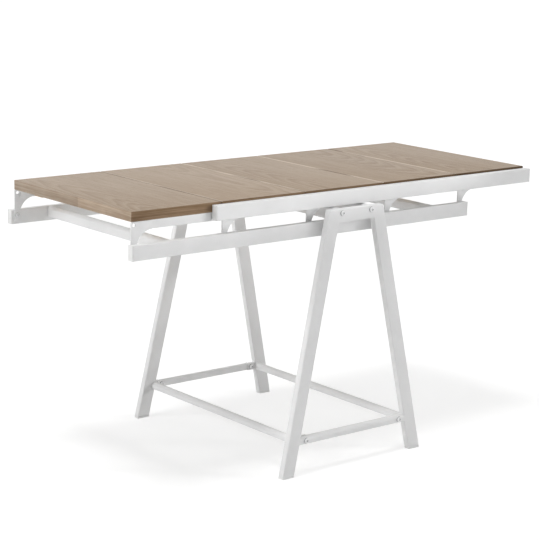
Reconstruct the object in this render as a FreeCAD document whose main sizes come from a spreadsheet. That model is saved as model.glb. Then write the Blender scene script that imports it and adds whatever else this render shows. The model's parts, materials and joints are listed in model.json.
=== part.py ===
import FreeCAD, Part
import os
import re

# Extending dining table: a trestle base with a fixed bearer truss, a sliding top of four boards
# between two side rails, and a loose leaf for the end of the truss that the open top leaves bare.
# X runs along the table, Y across it and Z up from the floor. The top is shown open.

doc = FreeCAD.newDocument("ExtendingTable")

# Driving dimensions in millimetres.
sizes = {
    "top_height": 766,         # floor to the upper face of the boards
    "board_length": 280,       # one board along the table, seam included
    "board_gap": 1.2,          # open seam between two boards
    "board_thick": 26,
    "board_ease": 0.8,         # rounding of the board edges
    "top_half": 280,           # half the clear width between the side rails
    "slide_gap": 1,            # clearance beside and below what slides
    "tube_deep": 40,           # leg and rail tube, long side
    "tube_wide": 20,           # leg and rail tube, short side
    "tube_wall": 1.5,
    "tube_round": 2.5,         # outer corner radius of the tubes
    "rail_drop": 6,            # side rail below the boards' upper face
    "rail_lap": 30,            # side rail past the four boards, over the leaf
    "rail_reach": 9,           # rail end past the outer board edges
    "cap_thick": 3,            # end cap flange
    "cap_plug": 6,             # end cap plug inside the tube
    "cap_ease": 1,             # rounding of the end cap
    "fit_gap": 0.2,            # clearance of plugs, bolts and screws in their holes
    "bearer_deep": 22,
    "bearer_wide": 20,
    "bearer_thick": 3,
    "glide_thick": 1,
    "glide_wide": 18,
    "cross_deep": 33,          # cross tube between the trestle heads
    "cross_wide": 20,
    "cross_half": 52,          # cross tube centre from the middle of the table
    "bracket_step": 3.4,       # bracket pitch beyond the length of a board
    "bracket_narrow": 16,      # foot of the bracket
    "bracket_round": 48,       # quarter-round cut-out
    "bracket_thick": 3,
    "bracket_grip": 30,        # bracket overlap on the lower rail
    "peg_hole": 9,             # open hole in the bracket's upper corner
    "peg_in": 9,
    "peg_down": 8,
    "lower_tail": 22.4,        # lower rail past the edge of the last bracket
    "tie_inset": 125,          # tie bar centre from the lower rail's end
    "tie_deep": 30,
    "tie_wide": 20,
    "foot_half": 253,          # outer edge of the legs at the floor, along X
    "head_half": 96,           # outer edge of the legs at the head, along X
    "head_clear": 13,          # side rail to the trestle's head, along Y
    "frame_splay": 17,         # the trestle frame's feet outside its head, along Y
    "head_rise": 1,            # trestle head above the cross tubes
    "head_deep": 36,
    "foot_thick": 4,
    "foot_plug": 14,
    "low_top": 106,            # upper face of the low bars and stretchers
    "low_tube": 20,
    "stretcher_lap": 4,        # stretcher centre behind the leg's inner edge
    "low_bolt_in": 25,         # low bolt inside the stretcher's centre
    "tab_long": 28,
    "tab_thick": 3,
    "bolt_diameter": 8,
    "bolt_head": 16,
    "bolt_head_top": 10,
    "bolt_head_high": 4.4,
    "bolt_socket": 5.8,
    "bolt_socket_deep": 2.6,
    "bolt_grip": 18,           # bolt beyond the head bar, in the cross tube's plug
    "head_bolt_drop": 11,
    "nut_wide": 14.4,
    "nut_high": 4,
    "plug_long": 20,           # threaded plug in the cross tube
    "screw_diameter": 6,
    "screw_head": 14,
    "screw_head_high": 3,
    "saddle_screw": 6,         # flat-head screws up through the lower rails into the cross tubes
    "saddle_screw_head": 12,
    "saddle_screw_head_high": 1.2,
    "screw_tail": 10,          # screw beyond the wall or plate it holds
    "wood_screw": 5,
    "wood_screw_head": 9,
    "wood_screw_head_high": 3,
    "wood_screw_grip": 36,
    "wood_screw_inset": 60,    # rail screw from the board's edge
    "batten_thick": 18,
    "batten_wide": 40,
    "batten_reach": 200,       # outer side of the top battens from the middle
    "batten_inset": 20,        # batten end from the board's edge
    "clip_long": 40,
    "clip_leg": 8,
    "clip_lip": 14,            # clip lip below the bearer's flange
    "clip_lip_thick": 3,
    "clip_inset": 20,          # clip from the left edge of its board
    "under_screw": 4,          # screws driven up into the boards
    "under_screw_head": 7,
    "under_screw_head_high": 2.5,
    "under_screw_grip": 14,
    "stop_long": 30,
    "stop_half": 40,
    "stop_deep": 40,
    "leaf_batten_inset": 50,   # leaf batten from the free end of the leaf
    "leaf_screw_inset": 40,    # leaf screw from the end of its batten
    "through_cut": 1,          # how far a cutter runs past what it cuts
}
board_count = 4
bracket_count = 5

sheet = doc.addObject("Spreadsheet::Sheet", "Sizes")
for row, (alias, value) in enumerate(sizes.items(), start=1):
    sheet.set(f"A{row}", str(value))
    sheet.setAlias(f"A{row}", alias)
doc.recompute()

# Places worked out from the driving dimensions.
places = {
    "table_half": "2.5 * board_length",
    "board_under": "top_height - board_thick",
    "top_left": "board_length - table_half",
    "rail_top": "top_height - rail_drop",
    "rail_under": "rail_top - tube_deep",
    "rail_left": "top_left - rail_lap",
    "rail_right": "table_half + rail_reach",
    "bearer_top": "board_under - glide_thick",
    "bearer_under": "bearer_top - bearer_deep",
    "bracket_face": "top_half - slide_gap",
    "bearer_face": "bracket_face - bracket_thick",
    "bearer_edge": "bearer_face - bearer_wide",
    "lower_top": "bearer_under - cross_deep",
    "lower_under": "lower_top - tube_deep",
    "lower_left": "-table_half - rail_reach",
    "bracket_pitch": "board_length + bracket_step",
    "head_reach": "top_half + 2 * tube_wide + head_clear",
    "foot_reach": "head_reach + frame_splay",
    "batten_middle": "batten_reach - batten_wide / 2",
    "last_bracket": "(bracket_pitch * 4) - table_half",
    "lower_right": "last_bracket + lower_tail",
    "bearer_right": "last_bracket + bracket_narrow + bracket_round",
    "frame_top": "bearer_under + head_rise",
    "head_under": "frame_top - head_deep",
    "low_under": "low_top - low_tube",
    "low_middle": "low_top - low_tube / 2",
    "head_bolt_level": "frame_top - head_bolt_drop",
    "leg_span": "tube_deep * sqrt(1 + ((foot_half - head_half) / frame_top) ^ 2)",
    "low_leg_edge": "foot_half - (foot_half - head_half) * low_middle / frame_top - leg_span",
    "stretcher_half": "low_leg_edge + stretcher_lap",
    "low_bolt_half": "stretcher_half - low_bolt_in",
    "bracket_bolt_level": "lower_top - bracket_grip / 2",
    "rail_screw_level": "rail_top - board_thick / 3",
    "batten_under": "board_under - batten_thick",
    "clip_outer": "bearer_edge - slide_gap",
    "clip_inner": "clip_outer - clip_leg",
    "clip_lip_top": "bearer_top - bearer_thick - slide_gap",
    "clip_under": "clip_lip_top - clip_lip_thick",
    "stop_under": "board_under - stop_deep",
    "bolt_hole": "bolt_diameter + 2 * fit_gap",
    "screw_hole": "screw_diameter + 2 * fit_gap",
    "snug_wall": "tube_wall + fit_gap",
    "beyond_feet": "foot_thick - through_cut",
    "below_head": "frame_top - tube_wall",
}
nodes = []


def sized(text):
    # Writes a formula in plain names as an expression on the sheet's cells.
    def swap(match):
        name = match.group()
        if name in places:
            return "(" + sized(places[name]) + ")"
        return "Sizes." + name if name in sizes else name

    return re.sub(r"[a-z][a-z_]*", swap, str(text))


def number(text):
    return float(sheet.evalExpression(sized(text)))


def bind(obj, **formulas):
    for name, text in formulas.items():
        obj.setExpression(name, sized(text))


def put(obj, x, y, z):
    obj.setExpression("Placement.Base.x", sized(x))
    obj.setExpression("Placement.Base.y", sized(y))
    obj.setExpression("Placement.Base.z", sized(z))


def node(obj, label):
    obj.Label = label
    nodes.append(obj)
    return obj


def box(name, x, y, z):
    # A box between pairs of formulas along X, Y and Z.
    obj = doc.addObject("Part::Box", name)
    bind(obj, Length=f"({x[1]}) - ({x[0]})", Width=f"({y[1]}) - ({y[0]})", Height=f"({z[1]}) - ({z[0]})")
    put(obj, x[0], y[0], z[0])
    return obj


def slab(name, z, low, high):
    # A block with level ends: low and high are its X and Y spans at the two heights.
    obj = doc.addObject("Part::Wedge", name)
    bind(obj, Ymin=z[0], Ymax=z[1])
    bind(obj, Xmin=low[0][0], Xmax=low[0][1], Zmin=f"-({low[1][1]})", Zmax=f"-({low[1][0]})")
    bind(obj, X2min=high[0][0], X2max=high[0][1], Z2min=f"-({high[1][1]})", Z2max=f"-({high[1][0]})")
    obj.Placement.Rotation = FreeCAD.Rotation(FreeCAD.Vector(1, 0, 0), 90)
    return obj


turns = {
    "x": FreeCAD.Rotation(FreeCAD.Vector(0, 1, 0), 90),
    "y": FreeCAD.Rotation(FreeCAD.Vector(1, 0, 0), -90),
    "-y": FreeCAD.Rotation(FreeCAD.Vector(1, 0, 0), 90),
    "z": FreeCAD.Rotation(),
}


def rod(name, diameter, start, length, axis):
    obj = doc.addObject("Part::Cylinder", name)
    bind(obj, Radius=f"({diameter}) / 2", Height=length)
    obj.Placement.Rotation = turns[axis]
    put(obj, *start)
    return obj


def cut(name, base, tools):
    obj = doc.addObject("Part::Cut", name)
    obj.Base = base
    obj.Tool = tools[0] if len(tools) == 1 else group(name + "Tools", tools)
    return obj


def fuse(name, pieces):
    obj = doc.addObject("Part::MultiFuse", name)
    obj.Shapes = pieces
    return obj


def group(name, pieces):
    obj = doc.addObject("Part::Compound", name)
    obj.Links = pieces
    return obj


def rounded(name, base, radius, along=None):
    # Rounds the edges that run mostly along one axis, or every edge.
    base.recompute()
    picked = []
    for index, edge in enumerate(base.Shape.Edges, start=1):
        way = edge.tangentAt(edge.FirstParameter)
        if along is None or abs(way["xyz".index(along)]) > 0.9:
            picked.append((index, number(radius), number(radius)))
    obj = doc.addObject("Part::Fillet", name)
    obj.Base = base
    obj.Edges = picked
    return obj


def inside(span, wall="tube_wall"):
    return (f"{span[0]} + {wall}", f"{span[1]} - {wall}")


def past(span):
    return (f"{span[0]} - through_cut", f"{span[1]} + through_cut")


def tube(name, x, y, z, along, holes=()):
    # A straight tube with rounded corners, open at both ends, and drilled by the given cutters.
    outer = rounded(name + "Round", box(name + "Outer", x, y, z), "tube_round", along)
    spans = [past(span) if axis == along else inside(span) for axis, span in zip("xyz", (x, y, z))]
    return cut(name, outer, [box(name + "Bore", *spans), *holes])


def mirrored(sign, inner, outer):
    # The span from inner to outer on the positive side, or its mirror image.
    return (inner, outer) if sign > 0 else (f"-({outer})", f"-({inner})")


def signed(sign, text):
    return f"{'' if sign > 0 else '-'}({text})"


def inward(sign):
    return "-y" if sign > 0 else "y"


def leg_outer(z):
    return f"(foot_half - (foot_half - head_half) * ({z}) / frame_top)"


def leg_inner(z):
    return f"({leg_outer(z)} - leg_span)"


def frame_outer(z):
    return f"(foot_reach - (foot_reach - head_reach) * ({z}) / frame_top)"


def frame_inner(z):
    return f"({frame_outer(z)} - tube_wide)"


ends = (("front", -1), ("rear", 1))
sides = (("left", -1), ("right", 1))


def leg_section(sx, sy, z, shrink):
    x = mirrored(sx, f"{leg_inner(z)} + ({shrink})", f"{leg_outer(z)} - ({shrink})")
    y = mirrored(sy, f"{frame_inner(z)} + ({shrink})", f"{frame_outer(z)} - ({shrink})")
    return x, y


def leg_block(name, sx, sy, low, high, shrink="0"):
    return slab(name, (low, high), leg_section(sx, sy, low, shrink), leg_section(sx, sy, high, shrink))


def legs_and_feet():
    for end, sy in ends:
        for side, sx in sides:
            name = f"{end}_{side}"
            outer = rounded(name + "Round", leg_block(name + "Outer", sx, sy, "foot_thick", "frame_top"),
                            "tube_round", "z")
            bore = leg_block(name + "Bore", sx, sy, "beyond_feet", "below_head", "tube_wall")
            node(cut(name + "Leg", outer, [bore]), f"{name}_leg")
            plug = leg_block(name + "Plug", sx, sy, "foot_thick", "foot_thick + foot_plug", "snug_wall")
            blank = leg_block(name + "Sole", sx, sy, "0", "foot_thick")
            sole = rounded(name + "SoleRound", blank, "tube_round", "z")
            node(fuse(name + "Foot", [sole, plug]), f"{name}_foot")


def frame_bar(name, sy, low, high, holes):
    # A bar welded between the two legs of one trestle frame.
    def section(z):
        x = (f"-{leg_inner(z)}", leg_inner(z))
        return x, mirrored(sy, frame_inner(z), frame_outer(z))

    blank = slab(name + "Outer", (low, high), section(low), section(high))
    outer = rounded(name + "Round", blank, "tube_round", "x")
    middle = f"(({low}) + ({high})) / 2"
    wall_y = inside(mirrored(sy, frame_inner(middle), frame_outer(middle)))
    bore = box(name + "Bore", ("-foot_half", "foot_half"), wall_y, inside((low, high)))
    return cut(name, outer, [bore, *holes])


def bar_holes(name, sy, half, level):
    holes = []
    for side, sx in sides:
        start = (signed(sx, half), signed(sy, f"{frame_outer(level)} + tube_wide"), level)
        holes.append(rod(f"{name}{side}Hole", "bolt_hole", start, "3 * tube_wide", inward(sy)))
    return holes


def trestle_bars():
    for end, sy in ends:
        holes = bar_holes(end + "HeadBar", sy, "cross_half", "head_bolt_level")
        node(frame_bar(end + "HeadBar", sy, "head_under", "frame_top", holes), f"{end}_head_bar")
        holes = bar_holes(end + "LowBar", sy, "low_bolt_half", "low_middle")
        node(frame_bar(end + "LowBar", sy, "low_under", "low_top", holes), f"{end}_low_bar")


def spanning_tube(name, centre, wide, z, holes=()):
    # A tube across the table whose ends lie flat on the leaning frames.
    x = (f"{centre} - {wide} / 2", f"{centre} + {wide} / 2")

    def section(level):
        return x, (f"-{frame_inner(level)}", frame_inner(level))

    outer = rounded(name + "Round", slab(name + "Outer", z, section(z[0]), section(z[1])), "tube_round", "y")
    bore = box(name + "Bore", inside(x), ("-foot_reach", "foot_reach"), inside(z))
    return cut(name, outer, [bore, *holes])


def stretchers():
    tabs = []
    for side, sx in sides:
        centre = signed(sx, "stretcher_half")
        span_z = ("low_under", "low_top")
        node(spanning_tube(side + "Stretcher", centre, "low_tube", span_z), f"{side}_stretcher")
        for end, sy in ends:
            name = f"{end}{side}Tab"
            x = mirrored(sx, "stretcher_half - low_tube / 2 - tab_long", "stretcher_half - low_tube / 2")
            low, high = (mirrored(sy, f"{frame_inner(z)} - tab_thick", frame_inner(z)) for z in span_z)
            plate = slab(name + "Plate", span_z, (x, low), (x, high))
            outside = f"{frame_outer('low_middle')} + tube_wide"
            start = (signed(sx, "low_bolt_half"), signed(sy, outside), "low_middle")
            hole = rod(name + "Hole", "bolt_hole", start, "3 * tube_wide", inward(sy))
            tabs.append(cut(name, plate, [hole]))
    node(group("StretcherTabs", tabs), "stretcher_tabs")


def socket_bolt(name, seat, length, way):
    # A button-head bolt along Y: seat is the point under its head, way the sign of its shank.
    x, y, z = seat
    shank = rod(name + "Shank", "bolt_diameter", seat, length, "y" if way > 0 else "-y")
    head = doc.addObject("Part::Cone", name + "Head")
    bind(head, Radius1="bolt_head / 2", Radius2="bolt_head_top / 2", Height="bolt_head_high")
    head.Placement.Rotation = turns["-y" if way > 0 else "y"]
    put(head, x, y, z)
    socket = doc.addObject("Part::Prism", name + "Socket")
    socket.Polygon = 6
    bind(socket, Circumradius="bolt_socket / 2", Height="bolt_socket_deep + through_cut")
    socket.Placement.Rotation = turns["-y" if way > 0 else "y"]
    put(socket, x, f"{y} - {way} * (bolt_head_high - bolt_socket_deep)", z)
    return cut(name, fuse(name + "Body", [shank, head]), [socket])


def bolts():
    head_bolts = []
    low_bolts = []
    nuts = []
    for end, sy in ends:
        for side, sx in sides:
            seat_level = "head_bolt_level - bolt_head / 2"
            seat = (signed(sx, "cross_half"), signed(sy, frame_outer(seat_level)), "head_bolt_level")
            head_bolts.append(socket_bolt(f"{end}{side}HeadBolt", seat, "tube_wide + bolt_grip", -sy))
            # The front low bolts go in from outside, the rear ones from inside.
            low_edge = "low_middle - bolt_head / 2"
            high_edge = "low_middle + bolt_head / 2"
            outside = frame_outer(low_edge)
            within = f"({frame_inner(high_edge)} - tab_thick)"
            start, stop = (outside, within) if sy < 0 else (within, outside)
            x = signed(sx, "low_bolt_half")
            seat = (x, signed(sy, start), "low_middle")
            length = f"{outside} - {within} + bolt_head_high"
            low_bolts.append(socket_bolt(f"{end}{side}LowBolt", seat, length, 1))
            nut = doc.addObject("Part::Prism", f"{end}{side}NutBlank")
            nut.Polygon = 6
            bind(nut, Circumradius="nut_wide / 2", Height="nut_high")
            nut.Placement.Rotation = turns["y"]
            put(nut, x, signed(sy, stop), "low_middle")
            bore_start = (x, f"{signed(sy, stop)} - through_cut", "low_middle")
            bore_length = "nut_high + 2 * through_cut"
            bore = rod(f"{end}{side}NutBore", "bolt_hole", bore_start, bore_length, "y")
            nuts.append(cut(f"{end}{side}Nut", nut, [bore]))
    node(group("HeadBolts", head_bolts), "head_bolts")
    node(group("LowBolts", low_bolts), "low_bolts")
    node(group("LowNuts", nuts), "low_nuts")


def cross_tubes():
    plugs = []
    middle = "bracket_face + tube_wide / 2"
    for side, sx in sides:
        centre = signed(sx, "cross_half")
        holes = []
        for end, sy in ends:
            start = (centre, signed(sy, middle), "lower_top - through_cut")
            holes.append(rod(f"{end}{side}SaddleHole", "screw_hole", start,
                             "tube_wall + 2 * through_cut", "z"))
        tube_span = ("lower_top", "bearer_under")
        node(spanning_tube(side + "CrossTube", centre, "cross_wide", tube_span, holes), f"{side}_cross_tube")
        for end, sy in ends:
            name = f"{end}{side}Plug"
            reach = frame_inner("bearer_under")
            x = inside((f"{centre} - cross_wide / 2", f"{centre} + cross_wide / 2"))
            y = mirrored(sy, f"{reach} - plug_long", f"{reach} - slide_gap / 2")
            block = box(name + "Block", x, y, inside(tube_span))
            outside = f"{frame_outer('head_bolt_level')} + tube_wide"
            start = (centre, signed(sy, outside), "head_bolt_level")
            hole = rod(name + "Hole", "bolt_hole", start, "4 * tube_wide", inward(sy))
            plugs.append(cut(name, block, [hole]))
    node(group("CrossTubePlugs", plugs), "cross_tube_plugs")


def bracket_left(index):
    return f"(bracket_pitch * {index} - table_half)"


def lower_truss():
    caps = []
    bracket_bolts = []
    saddle_bolts = []
    for end, sy in ends:
        y = mirrored(sy, "bracket_face", "bracket_face + tube_wide")
        holes = []
        for index in range(bracket_count):
            name = f"{end}Bracket{index + 1}"
            x = f"{bracket_left(index)} + bracket_narrow / 2"
            start = (x, signed(sy, "bearer_face"), "bracket_bolt_level")
            way = "y" if sy > 0 else "-y"
            holes.append(rod(name + "RailHole", "screw_hole", start,
                             "bracket_thick + tube_wide / 2", way))
            bracket_bolts.append(pan_screw(name + "Bolt", "screw", start, "bracket_thick + screw_tail", way))
        for side, sx in sides:
            name = f"{end}{side}Saddle"
            x, middle = signed(sx, "cross_half"), signed(sy, "bracket_face + tube_wide / 2")
            below = (x, middle, "lower_under - through_cut")
            holes.append(rod(name + "RailHole", "screw_hole", below, "tube_deep + 2 * through_cut", "z"))
            saddle_bolts.append(pan_screw(name + "Bolt", "saddle_screw", (x, middle, "lower_under"),
                                          "tube_deep + screw_tail", "z"))
        x = ("lower_left + cap_thick", "lower_right - cap_thick")
        z = ("lower_under", "lower_top")
        node(tube(end + "LowerRail", x, y, z, "x", holes), f"{end}_lower_rail")
        caps.append(end_cap(end + "LowerLeftCap", "lower_left", 1, y, z))
        caps.append(end_cap(end + "LowerRightCap", "lower_right", -1, y, z))
    node(group("LowerRailCaps", caps), "lower_rail_caps")
    node(group("BracketBolts", bracket_bolts), "bracket_bolts")
    node(group("SaddleBolts", saddle_bolts), "saddle_bolts")
    for side, centre in (("left", "lower_left + tie_inset"), ("right", "lower_right - tie_inset")):
        x = (f"{centre} - tie_wide / 2", f"{centre} + tie_wide / 2")
        z = ("lower_top - tie_deep", "lower_top")
        node(tube(side + "TieBar", x, ("-bracket_face", "bracket_face"), z, "y"), f"{side}_tie_bar")


def pan_screw(name, kind, start, length, way):
    # A screw whose head lies behind its starting point.
    x, y, z = start
    high = f"{kind}_head_high"
    back = {"y": (x, f"{y} - {high}", z), "-y": (x, f"{y} + {high}", z), "z": (x, y, f"{z} - {high}")}[way]
    shank = rod(name + "Shank", f"{kind}_diameter" if kind == "screw" else kind, start, length, way)
    head = rod(name + "Head", f"{kind}_head", back, high, way)
    return fuse(name, [shank, head])


def end_cap(name, end, way, y, z):
    # A cap that closes one end of a rail: way is the direction of its plug along X.
    outer, inner = (end, f"{end} + {way} * cap_thick")
    x = (outer, inner) if way > 0 else (inner, outer)
    flange = rounded(name + "Flange", box(name + "Plate", x, y, z), "cap_ease")
    tip = f"{inner} + {way} * cap_plug"
    x = (inner, tip) if way > 0 else (tip, inner)
    plug = box(name + "Plug", x, inside(y, "snug_wall"), inside(z, "snug_wall"))
    return fuse(name, [flange, plug])


def bracket(name, sy, index):
    # A plate with a narrow foot and a quarter-round cut-out, drawn seen from the front.
    x = bracket_left(index)
    span_y = mirrored(sy, "bearer_face", "bracket_face")
    low = "lower_top - bracket_grip"
    plate = box(name + "Plate", (x, f"{x} + bracket_narrow + bracket_round"), span_y, (low, "bearer_top"))
    beside = (f"{x} + bracket_narrow", f"{x} + bracket_narrow + bracket_round + through_cut")
    arc_level = "bearer_under - bracket_round"
    below = box(name + "Below", beside, past(span_y), (f"{low} - through_cut", arc_level))
    depth = "bracket_thick + 2 * through_cut"
    front = past(span_y)[0]
    arc_centre = (f"{x} + bracket_narrow + bracket_round", front, arc_level)
    arc = rod(name + "Arc", "2 * bracket_round", arc_centre, depth, "y")
    peg = rod(name + "Peg", "peg_hole", (f"{x} + peg_in", front, "bearer_top - peg_down"), depth, "y")
    bolt_spot = (f"{x} + bracket_narrow / 2", front, "bracket_bolt_level")
    bolt = rod(name + "BoltHole", "screw_hole", bolt_spot, depth, "y")
    return cut(name, plate, [below, arc, peg, bolt])


def brackets_and_bearers():
    strips = []
    for end, sy in ends:
        for index in range(bracket_count):
            node(bracket(f"{end}BracketPlate{index + 1}", sy, index), f"{end}_bracket_{index + 1}")
        x = ("bracket_narrow - table_half", "bearer_right")
        web = box(end + "BearerWeb", x, mirrored(sy, "bearer_face - bearer_thick", "bearer_face"),
                  ("bearer_under", "bearer_top"))
        flange = box(end + "BearerFlange", x, mirrored(sy, "bearer_edge", "bearer_face"),
                     ("bearer_top - bearer_thick", "bearer_top"))
        node(fuse(end + "Bearer", [web, flange]), f"{end}_bearer")
        strips.append(box(end + "Glide", x, mirrored(sy, "bearer_face - glide_wide", "bearer_face"),
                          ("bearer_top", "board_under")))
    node(group("GlideStrips", strips), "glide_strips")


def board_left(index):
    return f"(top_left + board_length * {index})"


def rail_screw_places(index):
    return [f"{board_left(index)} + wood_screw_inset", f"{board_left(index + 1)} - wood_screw_inset"]


def up_hole(name, x, y, under):
    # A hole for a screw driven up from under a piece into the board above it.
    start = (x, y, f"{under} - through_cut")
    length = f"board_under - ({under}) + under_screw_grip + slide_gap + through_cut"
    return rod(name, "under_screw + 2 * fit_gap", start, length, "z")


def up_screw(name, x, y, under):
    return pan_screw(name, "under_screw", (x, y, under), f"board_under - ({under}) + under_screw_grip", "z")


# The stops meet the cross tubes: the left one when the top is open, the right one after a board of travel.
open_face = "(-cross_half - cross_wide / 2 - slide_gap)"
closed_face = "(cross_half + cross_wide / 2 + slide_gap + board_length)"
stops = {
    "open_stop": (1, (f"{open_face} - stop_long", open_face)),
    "closed_stop": (2, (closed_face, f"{closed_face} + stop_long")),
}


def screw_places():
    # Screws driven up into the four boards: board, piece, X, Y and the underside they start from.
    found = []
    for index in range(board_count):
        for end, sy in ends:
            clip_x = f"{board_left(index)} + clip_inset + clip_long / 2"
            clip_y = signed(sy, "(clip_inner + clip_outer) / 2")
            found.append((index, f"{end}Clip{index + 1}", clip_x, clip_y, "clip_under"))
            batten_x = f"{board_left(index)} + board_length / 2"
            found.append((index, f"{end}Batten", batten_x, signed(sy, "batten_middle"), "batten_under"))
    for label, (index, x) in stops.items():
        for end, sy in ends:
            found.append((index, label, f"{x[0]} + stop_long / 2", signed(sy, "stop_half / 2"), "stop_under"))
    return found


def holes_in(piece, key):
    return [up_hole(f"{key}Hole{spot}", x, y, under)
            for spot, (_, owner, x, y, under) in enumerate(screw_places()) if owner == piece]


def top_boards():
    for index in range(board_count):
        name = f"Board{index + 1}"
        x = (f"{board_left(index)} + board_gap / 2", f"{board_left(index + 1)} - board_gap / 2")
        blank = box(name + "Blank", x, ("-top_half", "top_half"), ("board_under", "top_height"))
        eased = rounded(name + "Eased", blank, "board_ease")
        holes = []
        for spot, place in enumerate(rail_screw_places(index)):
            for end, sy in ends:
                start = (place, signed(sy, "top_half + tube_wall"), "rail_screw_level")
                holes.append(rod(f"{name}{end}RailHole{spot}", "wood_screw + 2 * fit_gap", start,
                                 "tube_wall + wood_screw_grip + slide_gap", inward(sy)))
        for spot, (board, owner, x, y, under) in enumerate(screw_places()):
            if board == index:
                holes.append(up_hole(f"{name}UnderHole{spot}", x, y, under))
        node(cut(name, eased, holes), f"top_board_{index + 1}")


def side_rails():
    screws = []
    caps = []
    for end, sy in ends:
        y = mirrored(sy, "top_half", "top_half + tube_wide")
        z = ("rail_under", "rail_top")
        way = inward(sy)
        holes = []
        for index in range(board_count):
            for spot, place in enumerate(rail_screw_places(index)):
                name = f"{end}Rail{index + 1}Screw{spot}"
                start = (place, signed(sy, "top_half + tube_wall"), "rail_screw_level")
                hole_start = (place, signed(sy, "top_half + 2 * tube_wall"), "rail_screw_level")
                holes.append(rod(name + "Hole", "wood_screw + 2 * fit_gap", hole_start, "3 * tube_wall", way))
                screws.append(pan_screw(name, "wood_screw", start, "tube_wall + wood_screw_grip", way))
        x = ("rail_left + cap_thick", "rail_right - cap_thick")
        node(tube(end + "SideRail", x, y, z, "x", holes), f"{end}_side_rail")
        caps.append(end_cap(end + "SideLeftCap", "rail_left", 1, y, z))
        caps.append(end_cap(end + "SideRightCap", "rail_right", -1, y, z))
    node(group("SideRailCaps", caps), "side_rail_caps")
    node(group("RailScrews", screws), "rail_screws")


def under_top():
    clips = []
    for end, sy in ends:
        x = ("top_left + batten_inset", "table_half - batten_inset")
        y = mirrored(sy, "batten_reach - batten_wide", "batten_reach")
        batten = box(end + "BattenBlank", x, y, ("batten_under", "board_under"))
        node(cut(end + "TopBatten", batten, holes_in(f"{end}Batten", end + "TopBatten")), f"{end}_top_batten")
        for index in range(board_count):
            name = f"{end}Clip{index + 1}"
            left = f"({board_left(index)} + clip_inset)"
            x = (left, f"{left} + clip_long")
            leg_y = mirrored(sy, "clip_inner", "clip_outer")
            lip_y = mirrored(sy, "clip_inner", "clip_outer + clip_lip")
            leg = box(name + "Leg", x, leg_y, ("clip_under", "board_under"))
            lip = box(name + "Lip", x, lip_y, ("clip_under", "clip_lip_top"))
            clips.append(cut(name, fuse(name + "Angle", [leg, lip]), holes_in(name, name)))
    node(group("SlideClips", clips), "slide_clips")
    for label, (_, x) in stops.items():
        block = box(label + "Block", x, ("-stop_half", "stop_half"), ("stop_under", "board_under"))
        node(cut(label + "Drilled", block, holes_in(label, label)), label)
    screws = [up_screw(f"UnderScrew{spot}", x, y, under)
              for spot, (_, _, x, y, under) in enumerate(screw_places())]
    node(group("UnderScrews", screws), "under_screws")


def extension_leaf():
    batten_x = ("leaf_batten_inset - table_half", "rail_left - batten_inset")
    holes = []
    screws = []
    for end, sy in ends:
        y = mirrored(sy, "clip_outer - batten_wide", "clip_outer")
        blank = box(end + "LeafBattenBlank", batten_x, y, ("batten_under", "board_under"))
        own_holes = []
        middle = signed(sy, "clip_outer - batten_wide / 2")
        for spot, x in enumerate((f"{batten_x[0]} + leaf_screw_inset", f"{batten_x[1]} - leaf_screw_inset")):
            own_holes.append(up_hole(f"{end}LeafBattenHole{spot}", x, middle, "batten_under"))
            holes.append(up_hole(f"{end}LeafHole{spot}", x, middle, "batten_under"))
            screws.append(up_screw(f"{end}LeafScrew{spot}", x, middle, "batten_under"))
        node(cut(end + "LeafBatten", blank, own_holes), f"{end}_leaf_batten")
    x = ("board_gap / 2 - table_half", "top_left - board_gap / 2")
    blank = box("LeafBlank", x, ("-bracket_face", "bracket_face"), ("board_under", "top_height"))
    node(cut("Leaf", rounded("LeafEased", blank, "board_ease"), holes), "extension_leaf")
    node(group("LeafScrews", screws), "leaf_screws")


legs_and_feet()
trestle_bars()
stretchers()
cross_tubes()
bolts()
lower_truss()
brackets_and_bearers()
top_boards()
side_rails()
under_top()
extension_leaf()
doc.recompute()

faulty = [item.Label for item in doc.Objects if {"Invalid", "Error"} & set(item.State)]
faulty += [item.Label for item in nodes if item.Shape.isNull() or not item.Shape.isValid()]
if faulty:
    raise RuntimeError("failed objects: " + ", ".join(faulty))

os.makedirs("parts", exist_ok=True)
for item in nodes:
    item.Shape.exportStep(f"parts/{item.Label}.step")
print(len(nodes), "nodes")
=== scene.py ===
import bpy
import json
import math
from mathutils import Euler, Matrix, Vector


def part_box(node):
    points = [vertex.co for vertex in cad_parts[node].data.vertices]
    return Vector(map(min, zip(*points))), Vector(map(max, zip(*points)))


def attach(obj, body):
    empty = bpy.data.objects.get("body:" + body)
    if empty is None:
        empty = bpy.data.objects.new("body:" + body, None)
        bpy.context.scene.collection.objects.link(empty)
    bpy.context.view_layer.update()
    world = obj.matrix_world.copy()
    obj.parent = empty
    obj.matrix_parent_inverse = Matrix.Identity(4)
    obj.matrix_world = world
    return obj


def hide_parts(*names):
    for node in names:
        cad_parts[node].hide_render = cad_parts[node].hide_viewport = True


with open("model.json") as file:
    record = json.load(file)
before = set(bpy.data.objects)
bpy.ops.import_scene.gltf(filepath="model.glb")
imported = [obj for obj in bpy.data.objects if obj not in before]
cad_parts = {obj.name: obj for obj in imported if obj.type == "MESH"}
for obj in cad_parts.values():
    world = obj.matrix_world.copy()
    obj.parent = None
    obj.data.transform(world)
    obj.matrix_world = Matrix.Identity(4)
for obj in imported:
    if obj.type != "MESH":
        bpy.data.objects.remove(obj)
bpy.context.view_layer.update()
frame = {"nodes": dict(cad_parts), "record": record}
nodes = frame["nodes"]
print("frame loaded:", len(nodes), "nodes")


# object and edit mode helpers

near = 0.001      # what lies this near to a place is picked with it
longEdge = 0.1      # edges longer than this run along a board or bar
upright = 0.9      # a normal steeper than this belongs to a level face


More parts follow.
